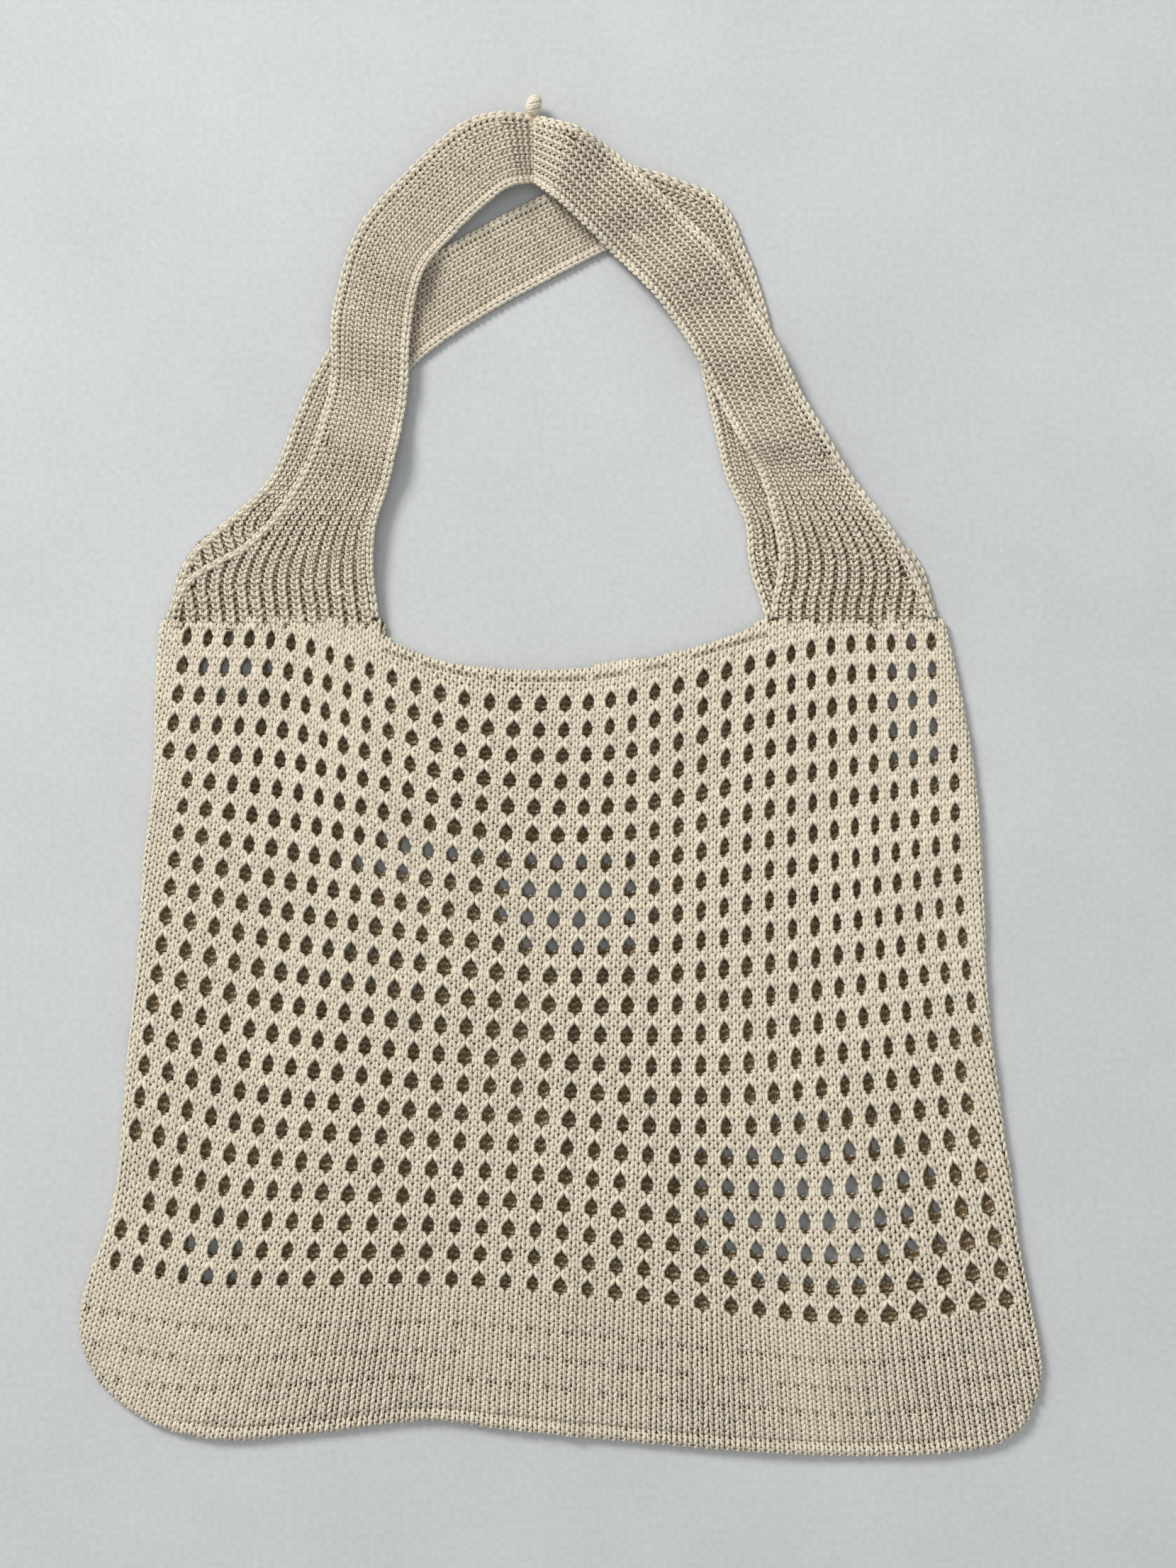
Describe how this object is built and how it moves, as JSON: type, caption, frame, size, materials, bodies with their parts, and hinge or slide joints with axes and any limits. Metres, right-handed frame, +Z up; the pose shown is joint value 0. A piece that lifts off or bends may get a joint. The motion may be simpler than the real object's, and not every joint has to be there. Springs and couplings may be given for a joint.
{
  "type": "mesh produce bag",
  "caption": "Knitted cotton mesh bag lying flat, with ribbed shoulders and two seamed strap handles that fold over the front.",
  "frame": {"origin": "middle of the bag's outline, on the table that it lies on", "axes": "+X to the right across the bag, +Y from the base towards the handles, +Z up from the table"},
  "size_m": [0.4082, 0.5758, 0.012],
  "materials": {
    "mesh_knit": "knitted eyelet mesh in undyed two-ply cotton yarn",
    "plain_knit": "plain knitted undyed cotton",
    "bound_edge": "bound-off knitted edge, undyed cotton",
    "rib_knit": "one by one ribbed knit, undyed cotton",
    "strap_knit": "close plain knit, undyed cotton",
    "seam_yarn": "seamed and gathered cotton yarn"
  },
  "bodies": {
    "bag": {"back_mesh_panel": "mesh_knit", "front_mesh_panel": "mesh_knit", "back_base_band": "plain_knit", "front_base_band": "plain_knit", "back_neck_band": "bound_edge", "front_neck_band": "bound_edge", "back_left_yoke": "rib_knit", "back_right_yoke": "rib_knit", "front_left_yoke": "rib_knit", "front_right_yoke": "rib_knit", "left_side_seam": "seam_yarn", "right_side_seam": "seam_yarn", "base_seam": "seam_yarn"},
    "front_handle": {"front_left_strap": "strap_knit", "front_right_strap": "strap_knit", "front_handle_seam": "seam_yarn"},
    "back_handle": {"back_left_strap": "strap_knit", "back_right_strap": "strap_knit", "back_handle_seam": "seam_yarn"}
  },
  "joints": [
    {"name": "front_handle_fold", "type": "hinge", "parent": "bag", "child": "front_handle", "pos_m": [0, 0.104, 0.012], "axis": [1, 0, 0], "range_deg": [0, 170]},
    {"name": "back_handle_fold", "type": "hinge", "parent": "bag", "child": "back_handle", "pos_m": [0, 0.104, 0.012], "axis": [1, 0, 0], "range_deg": [0, 170]}
  ],
  "couplings": [
    {"joint": "back_handle_fold", "follows": "front_handle_fold", "ratio": 1}
  ]
}
